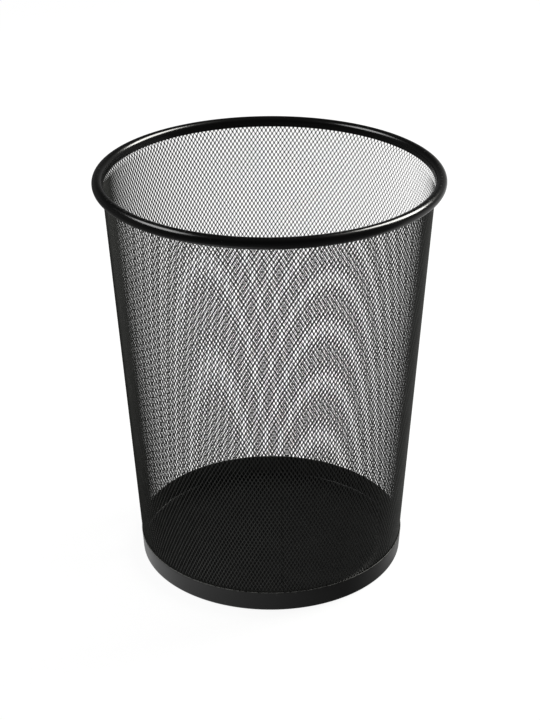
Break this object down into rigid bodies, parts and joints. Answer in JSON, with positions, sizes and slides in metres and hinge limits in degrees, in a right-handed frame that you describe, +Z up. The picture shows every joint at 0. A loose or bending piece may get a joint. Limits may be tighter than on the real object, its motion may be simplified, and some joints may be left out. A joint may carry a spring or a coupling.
{
  "type": "wastebasket",
  "caption": "Round open-top basket of diamond mesh sheet steel, with a rolled tubular rim and a drawn base pan, for dry waste beside a desk.",
  "frame": {"origin": "centre of the base, on the plane that the basket stands on", "axes": "+Z up along the basket's axis; +X and +Y are alike because the basket is round"},
  "size_m": [0.2884, 0.2884, 0.35],
  "materials": {
    "mesh_paint": "satin black powder coat on fine expanded metal",
    "rim_paint": "gloss black powder coat on roll-formed strip",
    "pan_paint": "satin black powder coat on drawn sheet"
  },
  "bodies": {
    "root": {"mesh_wall": "mesh_paint", "top_rim": "rim_paint", "base_pan": "pan_paint"}
  },
  "joints": []
}
